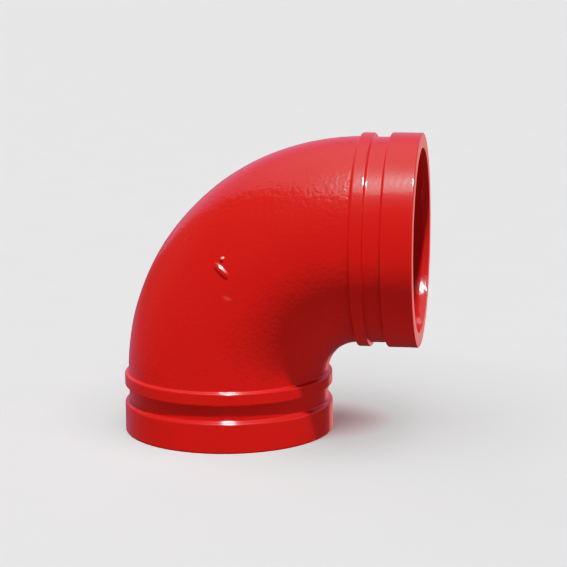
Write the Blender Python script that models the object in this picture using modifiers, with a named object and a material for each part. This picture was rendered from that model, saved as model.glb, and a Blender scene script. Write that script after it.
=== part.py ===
"""A 90 degree pipe elbow with grooved ends: one painted iron casting.

Metres, +Z up. The lower end faces down and rests on Z = 0, and the upper end faces +X. Both ends
are the same, so half the elbow is modelled, up to the plane at 45 degrees, and then mirrored. The
origin is the middle of the elbow's footprint.
"""

import math

import bmesh
import bpy
from mathutils import Matrix, Vector

# The elbow: a 4 inch (DN 100) grooved fitting
OUTSIDE_DIAMETER = 0.1143
BORE_DIAMETER = 0.0974
BODY_DIAMETER = 0.1100
CENTRE_TO_END = 0.1056
BEND_RADIUS = 0.0734

# The groove: distances are from the end face, and at half the groove's depth
GROOVE_DIAMETER = 0.1096
GROOVE_START = 0.0164
GROOVE_WIDTH = 0.00895
LIP_CORNER_RADIUS = 0.0020
GROOVE_ROOT_RADIUS = 0.0007
SHOULDER_CORNER_RADIUS = 0.0006
FACE_CORNER_RADIUS = 0.0006

# The shoulder behind the groove, and the ramp where it runs down to the body
SHOULDER_DIAMETER = 0.1141
SHOULDER_END = 0.0320
RAMP_MIDDLE_DIAMETER = 0.1132
RAMP_ANGLE = math.radians(1.8)

# The raised bar that the mould leaves on the elbow's -Y side
BAR_LENGTH = 0.0124
BAR_WIDTH = 0.0040
BAR_HEIGHT = 0.0013
BAR_TURN = math.radians(44.1)
BAR_SIDE_ANGLE = math.radians(109.9)

# How finely round things are cut up
SEGMENTS = 64
BEND_STEPS = 9
CORNER_STEPS = 2
BAR_SEGMENTS = 16
MERGE_DISTANCE = 0.00001
SHARP_ANGLE = math.radians(50)

# Places worked out from the sizes above
LOWER_AXIS_X = (OUTSIDE_DIAMETER / 2 - CENTRE_TO_END) / 2
BEND_START = CENTRE_TO_END - BEND_RADIUS
BEND_CENTRE = Vector((LOWER_AXIS_X + BEND_RADIUS, 0.0, BEND_START))
MIRROR_ANGLE = math.radians(45)

COLLECTION_NAME = "grooved_elbow"
CUTTER_COLLECTION_NAME = "grooved_elbow_cutters"


def clear_scene():
    """Remove every object that a new Blender file starts with."""
    for obj in list(bpy.data.objects):
        bpy.data.objects.remove(obj, do_unlink=True)


def new_collection(name):
    collection = bpy.data.collections.new(name)
    bpy.context.scene.collection.children.link(collection)
    return collection


def red_enamel():
    """Gloss red enamel over cast iron."""
    material = bpy.data.materials.new("red_enamel")
    material.use_nodes = True
    shader = material.node_tree.nodes["Principled BSDF"]
    shader.inputs["Base Color"].default_value = (0.60, 0.012, 0.010, 1.0)
    shader.inputs["Roughness"].default_value = 0.22
    shader.inputs["Metallic"].default_value = 0.0
    return material


def rounded_corner(before, corner, after, radius):
    """Points of the arc that rounds one corner of an outline."""
    to_before = (before - corner).normalized()
    to_after = (after - corner).normalized()
    half_angle = to_before.angle(to_after) / 2
    tangent_length = radius / math.tan(half_angle)
    centre = corner + (to_before + to_after).normalized() * (radius / math.sin(half_angle))
    start = (corner + to_before * tangent_length - centre).normalized()
    end = (corner + to_after * tangent_length - centre).normalized()
    shares = [step / CORNER_STEPS for step in range(CORNER_STEPS + 1)]
    return [centre + start.slerp(end, share) * radius for share in shares]


def end_profile():
    """Outline of a grooved end from its face inwards, as (radius, distance from the face) points."""
    outside = OUTSIDE_DIAMETER / 2
    shoulder = SHOULDER_DIAMETER / 2
    floor = GROOVE_DIAMETER / 2
    lip_drop = (outside - floor) / 2
    shoulder_rise = (shoulder - floor) / 2
    groove_end = GROOVE_START + GROOVE_WIDTH
    corners = [
        (Vector((outside, 0.0)), FACE_CORNER_RADIUS),
        (Vector((outside, GROOVE_START - lip_drop)), LIP_CORNER_RADIUS),
        (Vector((floor, GROOVE_START + lip_drop)), GROOVE_ROOT_RADIUS),
        (Vector((floor, groove_end - shoulder_rise)), GROOVE_ROOT_RADIUS),
        (Vector((shoulder, groove_end + shoulder_rise)), SHOULDER_CORNER_RADIUS),
    ]
    face_inside = Vector((BORE_DIAMETER / 2, 0.0))
    shoulder_end = Vector((shoulder, SHOULDER_END))
    path = [face_inside] + [corner for corner, radius in corners] + [shoulder_end]
    points = []
    for index, (corner, radius) in enumerate(corners):
        points += rounded_corner(path[index], corner, path[index + 2], radius)
    return points + [shoulder_end]


def straight_frame(distance):
    """Frame of a section of the lower leg, this far above its end face."""
    return Matrix.Translation((LOWER_AXIS_X, 0.0, distance))


def bend_frame(angle):
    """Frame of a section of the bend, turned this far from the lower leg."""
    to_centre = Matrix.Translation(BEND_CENTRE)
    turn = to_centre @ Matrix.Rotation(angle, 4, "Y") @ to_centre.inverted()
    return turn @ straight_frame(BEND_START)


def bend_sections(start_angle, radius):
    """Sections of the bend from the start angle to the mirror plane."""
    sections = []
    for step in range(BEND_STEPS + 1):
        angle = start_angle + (MIRROR_ANGLE - start_angle) * step / BEND_STEPS
        sections.append((bend_frame(angle), radius))
    return sections


def sweep(bm, sections):
    """Skin a round wall over the sections, each a frame and a radius, from first to last."""
    frame, radius = sections[0]
    placed = frame @ Matrix.Scale(radius, 4)
    ring = bmesh.ops.create_circle(bm, segments=SEGMENTS, radius=1.0, matrix=placed)
    edges = list({edge for vert in ring["verts"] for edge in vert.link_edges})
    for frame, radius in sections[1:]:
        target = frame @ Matrix.Scale(radius, 4)
        extruded = bmesh.ops.extrude_edge_only(bm, edges=edges)["geom"]
        verts = [item for item in extruded if isinstance(item, bmesh.types.BMVert)]
        edges = [item for item in extruded if isinstance(item, bmesh.types.BMEdge)]
        bmesh.ops.transform(bm, matrix=target @ placed.inverted(), verts=verts)
        placed = target


def half_elbow_mesh():
    """Lower leg and half of the bend, open at the mirror plane.

    One skin runs down the bore from the mirror plane, across the end face, and back up outside.
    """
    bore = BORE_DIAMETER / 2
    inside = [(straight_frame(0.0), bore)] + bend_sections(0.0, bore)
    outside = [(straight_frame(point.y), point.x) for point in end_profile()]
    outside.append((straight_frame(BEND_START), RAMP_MIDDLE_DIAMETER / 2))
    outside += bend_sections(RAMP_ANGLE, BODY_DIAMETER / 2)

    bm = bmesh.new()
    sweep(bm, inside[::-1] + outside)
    bmesh.ops.recalc_face_normals(bm, faces=bm.faces)
    mesh = bpy.data.meshes.new("elbow_casting")
    bm.to_mesh(mesh)
    bm.free()
    return mesh


def casting_bar_mesh():
    """A raised bar with rounded ends, half of it inside the wall."""
    bm = bmesh.new()
    bmesh.ops.create_uvsphere(bm, u_segments=BAR_SEGMENTS, v_segments=BAR_SEGMENTS // 2, radius=1.0)
    half_size = Vector((BAR_WIDTH / 2, BAR_HEIGHT, BAR_LENGTH / 2))
    bmesh.ops.scale(bm, vec=half_size, verts=bm.verts)
    mesh = bpy.data.meshes.new("casting_bar")
    bm.to_mesh(mesh)
    bm.free()
    return mesh


def casting_bar_frame():
    """Where the bar lies: halfway round the bend, along the curve of the section there."""
    section = bend_frame(BAR_TURN)
    turn = section.to_3x3()
    normal = turn @ Vector((math.cos(BAR_SIDE_ANGLE), -math.sin(BAR_SIDE_ANGLE), 0.0))
    across = turn @ Vector((0.0, 0.0, 1.0))
    along = across.cross(normal)
    axes = Matrix((across, normal, along)).transposed().to_4x4()
    return Matrix.Translation(section.translation + normal * BODY_DIAMETER / 2) @ axes


def finish_mesh(mesh, material):
    mesh.materials.append(material)
    mesh.shade_smooth()
    mesh.set_sharp_from_angle(angle=SHARP_ANGLE)


def build_elbow():
    parts = new_collection(COLLECTION_NAME)
    cutters = new_collection(CUTTER_COLLECTION_NAME)
    enamel = red_enamel()

    mirror_plane = bpy.data.objects.new("mirror_plane", None)
    mirror_plane.location = (LOWER_AXIS_X, 0.0, CENTRE_TO_END)
    mirror_plane.rotation_euler = (0.0, -MIRROR_ANGLE, 0.0)
    cutters.objects.link(mirror_plane)

    bar_mesh = casting_bar_mesh()
    finish_mesh(bar_mesh, enamel)
    bar = bpy.data.objects.new("casting_bar", bar_mesh)
    bar.matrix_world = casting_bar_frame()
    bar.hide_render = True
    bar.display_type = "WIRE"
    cutters.objects.link(bar)

    elbow_mesh = half_elbow_mesh()
    finish_mesh(elbow_mesh, enamel)
    elbow = bpy.data.objects.new("elbow_casting", elbow_mesh)
    parts.objects.link(elbow)

    mirror = elbow.modifiers.new("other_half", "MIRROR")
    mirror.mirror_object = mirror_plane
    mirror.use_axis = (True, False, False)
    mirror.merge_threshold = MERGE_DISTANCE

    join = elbow.modifiers.new("join_casting_bar", "BOOLEAN")
    join.operation = "UNION"
    join.solver = "EXACT"
    join.object = bar


clear_scene()
build_elbow()
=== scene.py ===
"""The looks of a grooved 90 degree pipe elbow: one iron casting in gloss red enamel.

The elbow's visible surface is one closed skin of rings. They start in the lower bore, turn out over
the lower end face, run up the outside to the upper end, turn in over its face, and come back down
the bore. Metres, +Z up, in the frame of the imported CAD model.
"""

import math
from collections import namedtuple

import bpy
import numpy as np
from mathutils import Matrix, Vector, noise


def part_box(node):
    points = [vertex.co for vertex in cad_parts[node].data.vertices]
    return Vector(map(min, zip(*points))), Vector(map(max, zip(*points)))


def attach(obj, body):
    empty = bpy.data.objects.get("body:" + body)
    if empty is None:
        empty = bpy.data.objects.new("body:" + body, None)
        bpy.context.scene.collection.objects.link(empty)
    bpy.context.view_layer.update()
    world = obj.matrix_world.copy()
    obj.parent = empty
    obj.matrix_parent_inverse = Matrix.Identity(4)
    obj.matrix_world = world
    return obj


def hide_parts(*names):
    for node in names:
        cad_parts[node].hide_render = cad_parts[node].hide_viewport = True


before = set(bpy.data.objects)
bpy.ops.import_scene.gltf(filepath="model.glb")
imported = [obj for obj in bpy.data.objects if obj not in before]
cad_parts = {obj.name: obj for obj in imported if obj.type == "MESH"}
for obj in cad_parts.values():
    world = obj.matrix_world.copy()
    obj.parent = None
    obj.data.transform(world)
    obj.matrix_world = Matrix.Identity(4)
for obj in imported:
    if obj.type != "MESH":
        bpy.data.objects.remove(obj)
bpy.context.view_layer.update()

MM = 0.001
NODE = "elbow_casting"

# Sizes that the frame gives
node_low, node_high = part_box(NODE)
OUTSIDE_RADIUS = (node_high.y - node_low.y) / 2
CENTRE_TO_END = node_high.x - node_low.x - OUTSIDE_RADIUS
LOWER_AXIS_X = node_low.x + OUTSIDE_RADIUS
FACE_Z = node_low.z

# Sizes of the casting that the frame's box doesn't show, as in the CAD model
BEND_RADIUS = 73.4 * MM
BODY_RADIUS = 55.0 * MM
BORE_RADIUS = 48.7 * MM
GROOVE_RADIUS = 54.8 * MM
SHOULDER_RADIUS = 57.05 * MM
GROOVE_START = 16.4 * MM
GROOVE_WIDTH = 8.95 * MM
SHOULDER_END = 32.0 * MM
BEND_START = CENTRE_TO_END - BEND_RADIUS
BEND_CENTRE = np.array((LOWER_AXIS_X + BEND_RADIUS, 0.0, FACE_Z + BEND_START))
QUARTER_TURN = math.pi / 2

# Shapes that are finer here than in the CAD model: the flared mouth of the bore, the ramp from the
# shoulder down to the body, and the corners, which the paint softens
BORE_MOUTH_DEPTH = 4.0 * MM
BORE_MOUTH_FLARE = 0.45 * MM
BORE_MOUTH_CORNER = 12 * MM
FACE_OUTER_CORNER = 0.8 * MM
FACE_BORE_CORNER = 0.5 * MM
SHOULDER_BACK_CORNER = 1.0 * MM
RAMP_SLOPE = math.radians(76)
RAMP_FOOT = 0.6 * MM

# The ramp's outline has this many corner radii of flat before it and after it
RAMP_LEAD = 4

# Where the rings of the ramp take over from the flat of the shoulder, clear of its corner
SHOULDER_FLAT_END = SHOULDER_END - 2 * SHOULDER_BACK_CORNER * math.tan(RAMP_SLOPE / 2)

# The groove's walls and corners. The upper groove is cut sharper than the lower one.
Groove = namedtuple("Groove", "wall_angle lip_back lip_root shoulder_root shoulder_front")
LOWER_GROOVE = Groove(math.radians(72), 1.4 * MM, 0.9 * MM, 0.7 * MM, 0.6 * MM)
UPPER_GROOVE = Groove(math.radians(77), 0.7 * MM, 0.6 * MM, 0.6 * MM, 0.6 * MM)

# The ground-down parting line, in the plane of the bend
SEAM_HEIGHT = 0.12 * MM
SEAM_HALF_WIDTH = 0.8 * MM

# The as-cast skin: depth and size of its waves and of its orange peel
WAVE_DEPTH = 0.16 * MM
WAVE_SIZE = 24 * MM
PEEL_DEPTH = 0.035 * MM
PEEL_SIZE = 5 * MM

# How much of the as-cast skin shows, where 1 is the body between the ramps
CAST_ON_ENDS = 0.12
CAST_ON_SHOULDER = 0.3
CAST_IN_BORE = 0.6

# Raised marks that the mould left on the camera's side. Each is an oval with a ridge along it.
# turn: where along the bend, side: where around the section, from its inner side.
# half_length runs round the section, and slant, in radians, turns the oval from that direction.
# ridge: where the ridge is, as a share of half_width towards the upper end.
Mark = namedtuple("Mark", "turn side half_length half_width height slant ridge")
CASTING_BAR = Mark(
    turn=math.radians(44.2),
    side=math.radians(109.6),
    half_length=6.2 * MM,
    half_width=2.05 * MM,
    height=1.13 * MM,
    slant=-0.08,
    ridge=0.23,
)
NUB = Mark(
    turn=math.radians(46.8),
    side=math.radians(114.0),
    half_length=1.4 * MM,
    half_width=1.35 * MM,
    height=1.06 * MM,
    slant=0.0,
    ridge=-0.30,
)
MARKS = [CASTING_BAR, NUB]

# How a mark falls off from its ridge: the higher the power, the flatter its top and the steeper its
# edge. The side towards the upper end slopes evenly.
ROUND_SIDE_POWER = 4
ENDS_POWER = 3

# How finely the skin is cut
ROUND_LINES = 220
CORNER_STEPS = 5
FLAT_STEP = 3.5 * MM
SUPPORT_GAP = 0.2 * MM
SHORTEST_FLAT = 3 * SUPPORT_GAP
SHOULDER_BACK_RINGS = 5
RAMP_RINGS = 16
RAMP_TURN = math.radians(2.2)
RAMP_CROWDING = 1.3
BEND_RINGS = 122
BORE_RINGS = 50
SEAM_STEP = SEAM_HALF_WIDTH / 2
SEAM_STEPS = 3

# The finer stretch at the marks, and how far it reaches in shares of a mark's half size
FINE_STEP = 0.38 * MM
REACH_ROUND_BAR = 1.1
REACH_BEFORE_BAR = 1.4
REACH_PAST_NUB = 1.2


# ---------------------------------------------------------------- outline of one end


def rounded_corner(before, corner, after, radius):
    """Points of the arc that rounds one corner of an outline."""
    to_before = (before - corner).normalized()
    to_after = (after - corner).normalized()
    half_angle = to_before.angle(to_after) / 2
    tangent_length = radius / math.tan(half_angle)
    centre = corner + (to_before + to_after).normalized() * (radius / math.sin(half_angle))
    start = (corner + to_before * tangent_length - centre).normalized()
    end = (corner + to_after * tangent_length - centre).normalized()
    shares = [step / CORNER_STEPS for step in range(CORNER_STEPS + 1)]
    return [centre + start.slerp(end, share) * radius for share in shares]


def flat_between(start, end):
    """Points along a flat stretch of an outline, with one close to each end to keep it flat."""
    length = (end - start).length
    if length < SHORTEST_FLAT:
        return []
    count = max(1, round(length / FLAT_STEP))
    inner = [length * step / count for step in range(1, count)]
    distances = [SUPPORT_GAP] + inner + [length - SUPPORT_GAP]
    return [start.lerp(end, distance / length) for distance in distances]


def rounded_outline(path, radii):
    """The path's points with every corner between its two ends rounded."""
    points = [path[0]]
    for index, radius in enumerate(radii):
        arc = rounded_corner(path[index], path[index + 1], path[index + 2], radius)
        points += flat_between(points[-1], arc[0]) + arc
    return points + flat_between(points[-1], path[-1]) + [path[-1]]


def end_outline(groove):
    """One grooved end as (radius, distance from the face) points, from the bore to the shoulder."""
    groove_end = GROOVE_START + GROOVE_WIDTH
    lip_run = (OUTSIDE_RADIUS - GROOVE_RADIUS) / 2 / math.tan(groove.wall_angle)
    shoulder_run = (SHOULDER_RADIUS - GROOVE_RADIUS) / 2 / math.tan(groove.wall_angle)
    path = [
        Vector((BORE_RADIUS, BEND_START)),
        Vector((BORE_RADIUS, BORE_MOUTH_DEPTH)),
        Vector((BORE_RADIUS + BORE_MOUTH_FLARE, 0.0)),
        Vector((OUTSIDE_RADIUS, 0.0)),
        Vector((OUTSIDE_RADIUS, GROOVE_START - lip_run)),
        Vector((GROOVE_RADIUS, GROOVE_START + lip_run)),
        Vector((GROOVE_RADIUS, groove_end - shoulder_run)),
        Vector((SHOULDER_RADIUS, groove_end + shoulder_run)),
        Vector((SHOULDER_RADIUS, SHOULDER_END)),
    ]
    radii = [
        BORE_MOUTH_CORNER,
        FACE_BORE_CORNER,
        FACE_OUTER_CORNER,
        groove.lip_back,
        groove.lip_root,
        groove.shoulder_root,
        groove.shoulder_front,
    ]
    points = rounded_outline(path, radii)
    return [point for point in points if point.y < SHOULDER_FLAT_END or point.x < GROOVE_RADIUS]


def ramp_outline():
    """Where the shoulder runs down to the body, as (radius, distance from the face) points."""
    run = (SHOULDER_RADIUS - BODY_RADIUS) / math.tan(RAMP_SLOPE)
    path = [
        Vector((SHOULDER_RADIUS, SHOULDER_END - RAMP_LEAD * SHOULDER_BACK_CORNER)),
        Vector((SHOULDER_RADIUS, SHOULDER_END)),
        Vector((BODY_RADIUS, SHOULDER_END + run)),
        Vector((BODY_RADIUS, SHOULDER_END + run + RAMP_LEAD * RAMP_FOOT)),
    ]
    return rounded_outline(path, [SHOULDER_BACK_CORNER, RAMP_FOOT])


RAMP_POINTS = ramp_outline()
RAMP_RADII = np.array([point.x for point in RAMP_POINTS])
RAMP_DISTANCES = np.array([point.y for point in RAMP_POINTS])


# ---------------------------------------------------------------- the skin's grid of lines


def with_fine_stretch(values, centre, half_width, step):
    """The values, with a finer stretch put in around a centre."""
    kept = [value for value in values if abs(value - centre) > half_width + step / 2]
    count = round(half_width / step)
    fine = [centre + half_width * index / count for index in range(-count, count + 1)]
    return sorted(kept + fine)


def around_angles():
    """Angles of the lines round a section, finer at the parting line and at the casting bar."""
    full_turn = 2 * math.pi
    angles = [full_turn * index / ROUND_LINES for index in range(ROUND_LINES)]
    bar_reach = REACH_ROUND_BAR * CASTING_BAR.half_length / BODY_RADIUS
    angles = with_fine_stretch(angles, CASTING_BAR.side, bar_reach, FINE_STEP / BODY_RADIUS)
    seam_step = SEAM_STEP / BODY_RADIUS
    seam_reach = SEAM_STEPS * seam_step
    angles = with_fine_stretch(angles, math.pi, seam_reach, seam_step)
    angles = [angle for angle in angles if seam_reach < angle < full_turn - seam_reach]
    inner_seam = [seam_step * index for index in range(-SEAM_STEPS, SEAM_STEPS + 1)]
    return np.array(sorted(angles + [angle % full_turn for angle in inner_seam]))


def bend_turns():
    """Turns of the outside rings along the bend, finer at its two ends and at the marks."""
    shares = [(index / RAMP_RINGS) ** RAMP_CROWDING for index in range(1, RAMP_RINGS + 1)]
    ramp = [RAMP_TURN * share for share in shares]
    span = QUARTER_TURN - 2 * RAMP_TURN
    middle = [RAMP_TURN + span * index / BEND_RINGS for index in range(1, BEND_RINGS)]
    to_axis = BEND_RADIUS - BODY_RADIUS * math.cos(CASTING_BAR.side)
    start = CASTING_BAR.turn - REACH_BEFORE_BAR * CASTING_BAR.half_width / to_axis
    end = NUB.turn + REACH_PAST_NUB * NUB.half_width / to_axis
    centre = (start + end) / 2
    middle = with_fine_stretch(middle, centre, end - centre, FINE_STEP / to_axis)
    return ramp + middle + [QUARTER_TURN - turn for turn in reversed(ramp)]


# A ring of the skin. turn: where along the bend, along: how far past that section, along the leg.
# cast: how much of the as-cast skin shows. It and the radius are none on the outside of the bend,
# where the ramps at its two ends set them both.
Ring = namedtuple("Ring", "turn along radius cast in_bore")


def outside_ring(turn, along=0.0):
    return Ring(turn, along, None, None, False)


def end_rings(turn, direction, groove):
    """Rings of one grooved end, from inside the bore to the shoulder."""
    rings = []
    for point in end_outline(groove):
        in_bore = point.x < BORE_RADIUS + BORE_MOUTH_FLARE and point.y > FACE_BORE_CORNER
        cast = CAST_IN_BORE if in_bore else CAST_ON_ENDS
        rings.append(Ring(turn, direction * (BEND_START - point.y), point.x, cast, in_bore))
    return rings


def all_rings():
    """Every ring of the skin, once round it from the lower bore."""
    lower = end_rings(0.0, -1, LOWER_GROOVE)
    upper = end_rings(QUARTER_TURN, 1, UPPER_GROOVE)
    to_shoulder = BEND_START - SHOULDER_FLAT_END
    counts = range(SHOULDER_BACK_RINGS, 0, -1)
    steps = [to_shoulder * count / SHOULDER_BACK_RINGS for count in counts]
    outside = [outside_ring(0.0, -step) for step in steps]
    outside += [outside_ring(turn) for turn in [0.0] + bend_turns() + [QUARTER_TURN]]
    outside += [outside_ring(QUARTER_TURN, step) for step in reversed(steps)]
    turns = [QUARTER_TURN * index / BORE_RINGS for index in range(BORE_RINGS - 1, 0, -1)]
    bore = [Ring(turn, 0.0, BORE_RADIUS, CAST_IN_BORE, True) for turn in turns]
    return lower + outside + upper[::-1] + bore


# ---------------------------------------------------------------- shape of the surface


def smooth_step(values):
    clipped = np.clip(values, 0.0, 1.0)
    return clipped * clipped * (3 - 2 * clipped)


def ramp_radius(ring, angles):
    """Radius of an outside ring of the bend, with the ramps that run down from the shoulders."""
    to_axis = BEND_RADIUS - BODY_RADIUS * np.cos(angles)
    from_lower = BEND_START + to_axis * math.sin(ring.turn) + ring.along * math.cos(ring.turn)
    from_upper = BEND_START + to_axis * math.cos(ring.turn) - ring.along * math.sin(ring.turn)
    return np.interp(np.minimum(from_lower, from_upper), RAMP_DISTANCES, RAMP_RADII)


def mark_height(mark, turn, angles):
    """Height of a raised mark over the body at the given places."""
    to_axis = BEND_RADIUS - BODY_RADIUS * math.cos(mark.side)
    round_section = (angles - mark.side) * BODY_RADIUS
    along_bend = (turn - mark.turn) * to_axis
    along = round_section * math.cos(mark.slant) + along_bend * math.sin(mark.slant)
    across = along_bend * math.cos(mark.slant) - round_section * math.sin(mark.slant)
    from_ridge = across / mark.half_width - mark.ridge
    round_side = np.abs(from_ridge / (1 + mark.ridge)) ** ROUND_SIDE_POWER
    sloping_side = np.abs(from_ridge / (1 - mark.ridge))
    down_side = np.where(from_ridge < 0, round_side, sloping_side)
    down_ends = np.abs(along / mark.half_length) ** ENDS_POWER
    return mark.height * np.maximum(1 - down_side - down_ends, 0.0)


def seam_height(angles):
    """Height of the ground-down parting line, which lies in the plane of the bend."""
    from_seam = np.abs(np.sin(angles)) * BODY_RADIUS
    return SEAM_HEIGHT * (1 - smooth_step(from_seam / SEAM_HALF_WIDTH))


def outside_surface(ring, angles):
    """Radius of an outside ring of the bend, and how much of the as-cast skin shows along it."""
    radius = ramp_radius(ring, angles)
    down_ramp = (SHOULDER_RADIUS - radius) / (SHOULDER_RADIUS - BODY_RADIUS)
    cast = CAST_ON_SHOULDER + (1 - CAST_ON_SHOULDER) * down_ramp
    radius = radius + seam_height(angles) * cast
    for mark in MARKS:
        radius = radius + mark_height(mark, ring.turn, angles)
    return radius, cast


def cast_relief(places):
    """Waves and orange peel of the cast skin, one height for each place."""
    heights = np.empty(len(places))
    for index, place in enumerate(places):
        wave = noise.noise(Vector(place) / WAVE_SIZE)
        peel = noise.noise(Vector(place) / PEEL_SIZE)
        heights[index] = WAVE_DEPTH * wave + PEEL_DEPTH * peel
    return heights


def section(turn, along, angles):
    """Centre of a section of the bend or of a leg, and the directions outwards at the angles."""
    inner = np.array((math.cos(turn), 0.0, -math.sin(turn)))
    tangent = np.array((math.sin(turn), 0.0, math.cos(turn)))
    centre = BEND_CENTRE - BEND_RADIUS * inner + along * tangent
    outward = np.outer(np.cos(angles), inner) - np.outer(np.sin(angles), (0.0, 1.0, 0.0))
    return centre, outward


def skin_points():
    """Every point of the skin, ring by ring, with what the paint needs to know about each."""
    angles = around_angles()
    places, casts, bores = [], [], []
    for ring in all_rings():
        if ring.radius is None:
            radius, cast = outside_surface(ring, angles)
        else:
            radius = np.full(len(angles), ring.radius)
            cast = np.full(len(angles), ring.cast)
        centre, outward = section(ring.turn, ring.along, angles)
        points = centre + outward * radius[:, None]
        points += outward * (cast_relief(points) * cast)[:, None]
        places.append(points)
        casts.append(cast)
        bores.append(np.full(len(angles), float(ring.in_bore)))
    looks = {"as_cast": np.concatenate(casts), "in_bore": np.concatenate(bores)}
    return np.concatenate(places), looks, len(angles)


def skin_faces(ring_count, line_count):
    """Four-sided faces between neighbouring rings; the last ring joins the first."""
    ring = np.arange(ring_count)[:, None] * line_count
    next_ring = (np.arange(ring_count)[:, None] + 1) % ring_count * line_count
    line = np.arange(line_count)[None, :]
    next_line = (line + 1) % line_count
    corners = [ring + line, next_ring + line, next_ring + next_line, ring + next_line]
    return np.stack(corners, axis=-1).reshape(-1, 4)


def build_elbow(material):
    points, looks, line_count = skin_points()
    faces = skin_faces(len(points) // line_count, line_count)
    mesh = bpy.data.meshes.new("enamelled_elbow")
    mesh.from_pydata(points.tolist(), [], faces.tolist())
    mesh.update()
    mesh.shade_smooth()
    for name, values in looks.items():
        attribute = mesh.attributes.new(name, "FLOAT", "POINT")
        attribute.data.foreach_set("value", values.astype(np.float32))
    mesh.materials.append(material)
    elbow = bpy.data.objects.new("enamelled_elbow", mesh)
    bpy.context.scene.collection.objects.link(elbow)
    return elbow


# ---------------------------------------------------------------- materials

# The enamel's colour and roughness drift slowly over the elbow, between two values of each
ENAMEL_DEEP = (0.61, 0.0066, 0.0040)
ENAMEL_BRIGHT = (0.64, 0.0088, 0.0054)
ENAMEL_ROUGHNESS = (0.26, 0.36)
DRIFT_SIZE = 30 * MM

# The bore's colour is the enamel darkened with painted shade. The enamel is also duller in the
# bore, and the pairs are its values outside and in the bore.
BORE_ENAMEL_WITH_PAINTED_SHADE = (0.53, 0.0085, 0.0085)
ENAMEL_SPECULAR = (0.033, 0.0)
COAT_WEIGHT = (0.8, 0.7)
COAT_ROUGHNESS = (0.06, 0.08)

# Relief of the paint that is too fine for the skin. The pairs are its strengths where none of the
# as-cast skin shows and where all of it does.
RIPPLE_SIZE = 2.2 * MM
RIPPLE_HEIGHT = 0.25 * MM
RIPPLE_STRENGTH = (0.10, 0.95)
GRAIN_SIZE = 0.8 * MM
GRAIN_HEIGHT = 0.06 * MM
GRAIN_STRENGTH = (0.04, 0.25)

# A lighter, pinker patch below the marks. It is partly a smear in the paint and partly painted
# light where that smear catches the sun. It is an ellipsoid of the half sizes below, with its
# middle on the body, and mottled between two strengths
LIT_SMEAR_TURN = math.radians(38.7)
LIT_SMEAR_SIDE = math.radians(97.0)
LIT_SMEAR_SIZE = (3.2 * MM, 6.0 * MM, 1.5 * MM)
LIT_SMEAR_SLOPE = math.radians(14)
LIT_SMEAR_COLOUR = (0.78, 0.050, 0.045)
LIT_SMEAR_MOTTLE = (0.2, 1.8)

FLOOR_DARK = (0.66, 0.66, 0.665)
FLOOR_LIGHT = (0.68, 0.68, 0.685)
FLOOR_MOTTLE_SIZE = 60 * MM
FLOOR_ROUGHNESS = 0.9
FLOOR_SPECULAR = 0.1


def new_material(name):
    material = bpy.data.materials.new(name)
    material.use_nodes = True
    return material, material.node_tree.nodes, material.node_tree.links


def noise_texture(nodes, links, coordinates, size, detail, roughness=0.5):
    """A noise texture whose lumps are about this size, in metres."""
    texture = nodes.new("ShaderNodeTexNoise")
    texture.inputs["Scale"].default_value = 1 / size
    texture.inputs["Detail"].default_value = detail
    texture.inputs["Roughness"].default_value = roughness
    links.new(coordinates, texture.inputs["Vector"])
    return texture.outputs["Fac"]


def point_value(nodes, name):
    """A value that the mesh keeps for each of its points."""
    attribute = nodes.new("ShaderNodeAttribute")
    attribute.attribute_name = name
    return attribute.outputs["Fac"]


def map_range(nodes, links, value, low, high):
    """The value, from 0 to 1, turned into low to high."""
    mapped = nodes.new("ShaderNodeMapRange")
    mapped.inputs["To Min"].default_value = low
    mapped.inputs["To Max"].default_value = high
    links.new(value, mapped.inputs["Value"])
    return mapped.outputs["Result"]


def multiply(nodes, links, first, second):
    product = nodes.new("ShaderNodeMath")
    product.operation = "MULTIPLY"
    links.new(first, product.inputs[0])
    links.new(second, product.inputs[1])
    return product.outputs["Value"]


def blend(nodes, links, factor, first, second):
    """A colour between two, each a plain colour or another node's output."""
    mix = nodes.new("ShaderNodeMix")
    mix.data_type = "RGBA"
    links.new(factor, mix.inputs["Factor"])
    for slot, colour in (("A", first), ("B", second)):
        if isinstance(colour, tuple):
            mix.inputs[slot].default_value = (*colour, 1.0)
        else:
            links.new(colour, mix.inputs[slot])
    return mix.outputs["Result"]


def bump(nodes, links, height, strength, distance, normal=None):
    node = nodes.new("ShaderNodeBump")
    node.inputs["Distance"].default_value = distance
    links.new(height, node.inputs["Height"])
    links.new(strength, node.inputs["Strength"])
    if normal is not None:
        links.new(normal, node.inputs["Normal"])
    return node.outputs["Normal"]


def lit_smear_mask(nodes, links, coordinates, mottle):
    """How much of the smear's colour, with the painted light on it, is at each place, broken up by
    a mottle.
    """
    centre, outward = section(LIT_SMEAR_TURN, 0.0, np.array([LIT_SMEAR_SIDE]))
    mapping = nodes.new("ShaderNodeMapping")
    mapping.vector_type = "TEXTURE"
    mapping.inputs["Location"].default_value = centre + BODY_RADIUS * outward[0]
    mapping.inputs["Rotation"].default_value = (0.0, LIT_SMEAR_SLOPE, 0.0)
    mapping.inputs["Scale"].default_value = LIT_SMEAR_SIZE
    links.new(coordinates, mapping.inputs["Vector"])
    distance = nodes.new("ShaderNodeVectorMath")
    distance.operation = "LENGTH"
    links.new(mapping.outputs["Vector"], distance.inputs[0])
    inside = map_range(nodes, links, distance.outputs["Value"], 1.0, 0.0)
    return multiply(nodes, links, inside, map_range(nodes, links, mottle, *LIT_SMEAR_MOTTLE))


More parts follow.
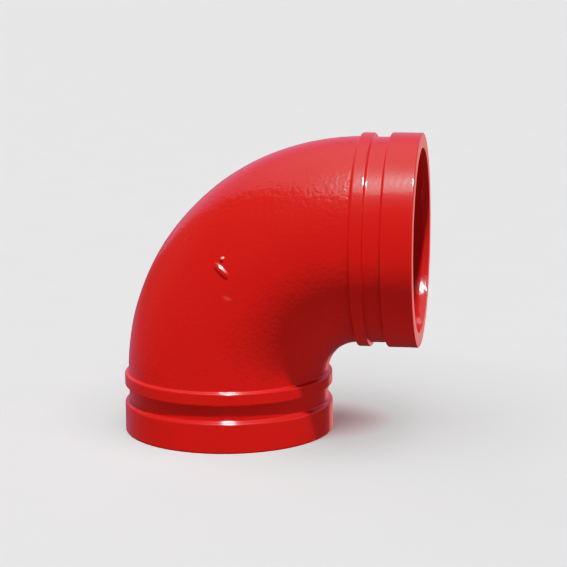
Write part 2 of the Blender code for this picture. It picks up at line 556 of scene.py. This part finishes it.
def red_enamel():
    """Gloss red enamel, thick and level on the machined ends, and rippled over the cast skin."""
    material, nodes, links = new_material("red_enamel")
    shader = nodes["Principled BSDF"]
    coordinates = nodes.new("ShaderNodeTexCoord").outputs["Object"]
    as_cast = point_value(nodes, "as_cast")
    in_bore = point_value(nodes, "in_bore")

    drift = noise_texture(nodes, links, coordinates, DRIFT_SIZE, detail=3.0)
    ripple = noise_texture(nodes, links, coordinates, RIPPLE_SIZE, detail=2.0)
    grain = noise_texture(nodes, links, coordinates, GRAIN_SIZE, detail=3.0, roughness=0.6)

    colour = blend(nodes, links, drift, ENAMEL_DEEP, ENAMEL_BRIGHT)
    # Painted shade: the bore gets a darker red than the outside, as if shade filled the hollow
    colour = blend(nodes, links, in_bore, colour, BORE_ENAMEL_WITH_PAINTED_SHADE)
    # Partly painted light: a lighter, pinker patch where a smear in the paint catches the sun
    lit_smear = lit_smear_mask(nodes, links, coordinates, ripple)
    colour = blend(nodes, links, lit_smear, colour, LIT_SMEAR_COLOUR)
    specular = map_range(nodes, links, in_bore, *ENAMEL_SPECULAR)
    roughness = map_range(nodes, links, drift, *ENAMEL_ROUGHNESS)
    coat_weight = map_range(nodes, links, in_bore, *COAT_WEIGHT)
    coat_roughness = map_range(nodes, links, in_bore, *COAT_ROUGHNESS)

    ripple_strength = map_range(nodes, links, as_cast, *RIPPLE_STRENGTH)
    grain_strength = map_range(nodes, links, as_cast, *GRAIN_STRENGTH)
    rippled = bump(nodes, links, ripple, ripple_strength, RIPPLE_HEIGHT)
    grained = bump(nodes, links, grain, grain_strength, GRAIN_HEIGHT, rippled)

    links.new(colour, shader.inputs["Base Color"])
    links.new(specular, shader.inputs["Specular IOR Level"])
    links.new(roughness, shader.inputs["Roughness"])
    links.new(coat_weight, shader.inputs["Coat Weight"])
    links.new(coat_roughness, shader.inputs["Coat Roughness"])
    links.new(grained, shader.inputs["Normal"])
    links.new(grained, shader.inputs["Coat Normal"])
    return material


def pale_floor_material():
    """Pale, matt studio floor with a very faint mottle."""
    material, nodes, links = new_material("pale_floor")
    shader = nodes["Principled BSDF"]
    coordinates = nodes.new("ShaderNodeTexCoord").outputs["Object"]
    mottle = noise_texture(nodes, links, coordinates, FLOOR_MOTTLE_SIZE, detail=4.0)
    colour = blend(nodes, links, mottle, FLOOR_DARK, FLOOR_LIGHT)
    links.new(colour, shader.inputs["Base Color"])
    shader.inputs["Roughness"].default_value = FLOOR_ROUGHNESS
    shader.inputs["Specular IOR Level"].default_value = FLOOR_SPECULAR
    return material


# ---------------------------------------------------------------- studio

FLOOR_SIZE = 60.0
FLOOR_GAP = 0.05 * MM

# Three suns in one place: a hard one shades the elbow, a wider one glints in its gloss, and a soft
# one lights the floor
SUN_AZIMUTH = math.radians(10.8)
SUN_ELEVATION = math.radians(71.3)
SUN_STRENGTH = 5.1
SUN_WIDTH = math.radians(2.5)
GLINT_STRENGTH = 24.0
GLINT_WIDTH = math.radians(7.0)
FLOOR_SUN_WIDTH = math.radians(75)

# A patch of the surroundings. A direction is more in it as it leans towards the patch's own one: in
# a smooth step from 0 to 1, as the cosine of the angle between them goes from start to end.
Patch = namedtuple("Patch", "direction start end")
UP = (0.0, 0.0, 1.0)
DOWN = (0.0, 0.0, -1.0)

# What the gloss mirrors: an overhead canopy that stops short of the front and of the left side and
# has a bright brim along its front edge, dim surroundings that turn hazy towards the back, and a
# warm card at the back
CANOPY_FRONT_EDGE = math.radians(59.4)
CANOPY_SOFTNESS = 0.01
BEHIND_FRONT_EDGE = (0.0, math.sin(CANOPY_FRONT_EDGE), math.cos(CANOPY_FRONT_EDGE))
CANOPY_FRONT = Patch(BEHIND_FRONT_EDGE, -CANOPY_SOFTNESS, CANOPY_SOFTNESS)
CANOPY_LEFT = Patch((0.70, 0.51, 0.50), -CANOPY_SOFTNESS, CANOPY_SOFTNESS)
ABOVE_FLOOR = Patch(UP, -0.02, 0.06)
OVERHEAD = Patch(UP, 0.55, 1.10)
BRIM = Patch(BEHIND_FRONT_EDGE, 0.25, 0.0)
HAZE = Patch((-0.35, 0.93, -0.10), 0.45, 1.0)
ABOVE_GROUND = Patch(UP, -0.5, -0.2)
BELOW_HORIZON = Patch(DOWN, 0.0, 0.12)
WARM_CARD = Patch((0.17, 0.97, -0.18), 0.965, 0.99)
CANOPY_TOP_RADIANCE = (1.36, 1.34, 1.32)
CANOPY_SKIRT_RADIANCE = (0.98, 0.32, 0.50)
BRIM_RADIANCE = (2.05, 1.92, 1.86)
DIM_RADIANCE = (0.035, 0.035, 0.04)
HAZE_RADIANCE = (0.45, 0.16, 0.26)
WARM_CARD_RADIANCE = (1.60, 0.36, 0.34)

# The soft light that fills the shadows, and the backdrop that only the camera sees
FROM_BELOW = Patch(DOWN, -0.3, 0.3)
FROM_RIGHT = Patch((1.0, 0.0, 0.0), 0.6, 1.0)
FROM_LEFT = Patch((-0.7, 0.7, 0.0), 0.6, 1.0)
FILL_ABOVE = (0.30, 0.30, 0.30)
FILL_BELOW = (0.51, 0.51, 0.51)
FILL_RIGHT = (0.75, 0.75, 0.75)
FILL_LEFT = (1.70, 1.70, 1.70)
BACKDROP_RADIANCE = 1.31

# The camera film's response: true up to the first point, and then a soft shoulder
FILM_POINTS = [
    (0.3, 0.3),
    (0.54, 0.55),
    (0.72, 0.605),
    (1.05, 0.71),
    (1.25, 0.77),
    (1.4, 0.87),
    (1.75, 1.0),
]
COMBINED_CURVE = 3

CAMERA_AZIMUTH = math.radians(9.867)
CAMERA_ELEVATION = math.radians(10.561)
CAMERA_ROLL = math.radians(-0.42)
CAMERA_DISTANCE = 905 * MM
CAMERA_LENS = 106.0
AIM_RIGHT = 6.5 * MM
AIM_UP = -1.1 * MM


def direction_to(azimuth, elevation):
    """From the object towards a place at this azimuth, from -Y towards +X, and elevation."""
    across = math.cos(elevation)
    return Vector((math.sin(azimuth) * across, -math.cos(azimuth) * across, math.sin(elevation)))


def build_floor():
    """The floor takes shadows, but sends neither its colour nor its mirror image to the elbow."""
    bpy.ops.mesh.primitive_plane_add(size=FLOOR_SIZE, location=(0.0, 0.0, FACE_Z - FLOOR_GAP))
    floor = bpy.context.object
    floor.name = "floor"
    floor.data.materials.append(pale_floor_material())
    floor.visible_glossy = False
    floor.visible_diffuse = False
    floor.visible_shadow = False
    return floor


def build_sun(name, strength, width):
    light = bpy.data.lights.new(name, "SUN")
    light.energy = strength
    light.angle = width
    sun = bpy.data.objects.new(name, light)
    sun.rotation_mode = "QUATERNION"
    sun.rotation_quaternion = direction_to(SUN_AZIMUTH, SUN_ELEVATION).to_track_quat("Z", "Y")
    bpy.context.scene.collection.objects.link(sun)
    return sun


def light_only(sun, piece):
    """Keep a light to one piece."""
    receivers = bpy.data.collections.new(sun.name + "_receivers")
    receivers.objects.link(piece)
    sun.light_linking.receiver_collection = receivers


def build_suns(elbow, floor):
    """The sun that shades the elbow, the one that its gloss sees, and the floor's own one."""
    shading = build_sun("shading_sun", SUN_STRENGTH, SUN_WIDTH)
    shading.visible_glossy = False
    light_only(shading, elbow)
    glint = build_sun("glint_sun", GLINT_STRENGTH, GLINT_WIDTH)
    glint.visible_diffuse = False
    light_only(glint, elbow)
    floor_sun = build_sun("floor_sun", SUN_STRENGTH, FLOOR_SUN_WIDTH)
    light_only(floor_sun, floor)


def within_one(nodes, links, ray, patch):
    """How far a ray's direction is within a patch, from 0 to 1."""
    lean = nodes.new("ShaderNodeVectorMath")
    lean.operation = "DOT_PRODUCT"
    lean.inputs[1].default_value = Vector(patch.direction).normalized()
    links.new(ray, lean.inputs[0])
    step = nodes.new("ShaderNodeMapRange")
    step.interpolation_type = "SMOOTHSTEP"
    step.inputs["From Min"].default_value = patch.start
    step.inputs["From Max"].default_value = patch.end
    links.new(lean.outputs["Value"], step.inputs["Value"])
    return step.outputs["Result"]


def within(nodes, links, ray, first, *others):
    """How far a ray's direction is within all of the patches, from 0 to 1."""
    share = within_one(nodes, links, ray, first)
    for patch in others:
        share = multiply(nodes, links, share, within_one(nodes, links, ray, patch))
    return share


def mirrored_surroundings(nodes, links, ray):
    """The colour that gloss mirrors from each direction."""
    overhead = within(nodes, links, ray, OVERHEAD)
    at_brim = within(nodes, links, ray, BRIM)
    canopy = blend(nodes, links, overhead, CANOPY_SKIRT_RADIANCE, CANOPY_TOP_RADIANCE)
    canopy = blend(nodes, links, at_brim, canopy, BRIM_RADIANCE)
    in_haze = within(nodes, links, ray, HAZE, ABOVE_GROUND, BELOW_HORIZON)
    on_card = within(nodes, links, ray, WARM_CARD)
    around = blend(nodes, links, in_haze, DIM_RADIANCE, HAZE_RADIANCE)
    around = blend(nodes, links, on_card, around, WARM_CARD_RADIANCE)
    in_canopy = within(nodes, links, ray, CANOPY_FRONT, CANOPY_LEFT, ABOVE_FLOOR)
    return blend(nodes, links, in_canopy, around, canopy)


def fill_light(nodes, links, ray):
    """The colour of the fill from each direction."""
    from_below = within(nodes, links, ray, FROM_BELOW)
    from_right = within(nodes, links, ray, FROM_RIGHT)
    from_left = within(nodes, links, ray, FROM_LEFT)
    fill = blend(nodes, links, from_below, FILL_ABOVE, FILL_BELOW)
    fill = blend(nodes, links, from_right, fill, FILL_RIGHT)
    return blend(nodes, links, from_left, fill, FILL_LEFT)


def background(nodes, links, light):
    """A background of a plain strength, or of another node's colour."""
    node = nodes.new("ShaderNodeBackground")
    if isinstance(light, float):
        node.inputs["Color"].default_value = (light, light, light, 1.0)
    else:
        links.new(light, node.inputs["Color"])
    return node.outputs["Background"]


def choose(nodes, links, factor, without, with_it):
    """One background where the factor is 0, and another where it is 1."""
    mix = nodes.new("ShaderNodeMixShader")
    links.new(factor, mix.inputs["Fac"])
    links.new(without, mix.inputs[1])
    links.new(with_it, mix.inputs[2])
    return mix.outputs["Shader"]


def build_world():
    """A soft fill, the surroundings that gloss mirrors, and a pale backdrop for the camera."""
    world = bpy.data.worlds.new("studio")
    bpy.context.scene.world = world
    world.use_nodes = True
    nodes, links = world.node_tree.nodes, world.node_tree.links
    nodes.clear()
    ray = nodes.new("ShaderNodeTexCoord").outputs["Generated"]
    mirrored = background(nodes, links, mirrored_surroundings(nodes, links, ray))
    fill = background(nodes, links, fill_light(nodes, links, ray))
    backdrop = background(nodes, links, BACKDROP_RADIANCE)
    path = nodes.new("ShaderNodeLightPath")
    lit = choose(nodes, links, path.outputs["Is Glossy Ray"], fill, mirrored)
    seen = choose(nodes, links, path.outputs["Is Camera Ray"], lit, backdrop)
    output = nodes.new("ShaderNodeOutputWorld")
    links.new(seen, output.inputs["Surface"])


def set_film():
    """Keep bright reds from clipping, as a camera's film does."""
    settings = bpy.context.scene.view_settings
    settings.view_transform = "Standard"
    settings.use_curve_mapping = True
    mapping = settings.curve_mapping
    mapping.white_level = (1.0, 1.0, 1.0)
    mapping.clip_max_x = FILM_POINTS[-1][0]
    curve = mapping.curves[COMBINED_CURVE]
    curve.points[-1].location = FILM_POINTS[-1]
    for place in FILM_POINTS[:-1]:
        curve.points.new(*place)
    for point in curve.points:
        point.handle_type = "VECTOR"
    mapping.update()


def build_camera():
    """The camera stands at the photograph's viewing angle and looks near the elbow's middle."""
    data = bpy.data.cameras.new("camera")
    data.lens = CAMERA_LENS
    camera = bpy.data.objects.new("camera", data)
    back = direction_to(CAMERA_AZIMUTH, CAMERA_ELEVATION)
    facing = back.to_track_quat("Z", "Y")
    middle = (node_low + node_high) / 2
    aim = middle + facing @ Vector((AIM_RIGHT, AIM_UP, 0.0))
    camera.rotation_mode = "QUATERNION"
    camera.rotation_quaternion = facing @ Matrix.Rotation(CAMERA_ROLL, 3, "Z").to_quaternion()
    camera.location = aim + back * CAMERA_DISTANCE
    bpy.context.scene.collection.objects.link(camera)
    bpy.context.scene.camera = camera


elbow = build_elbow(red_enamel())
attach(elbow, "root")
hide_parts(NODE)

floor = build_floor()
build_suns(elbow, floor)
build_world()
build_camera()
set_film()
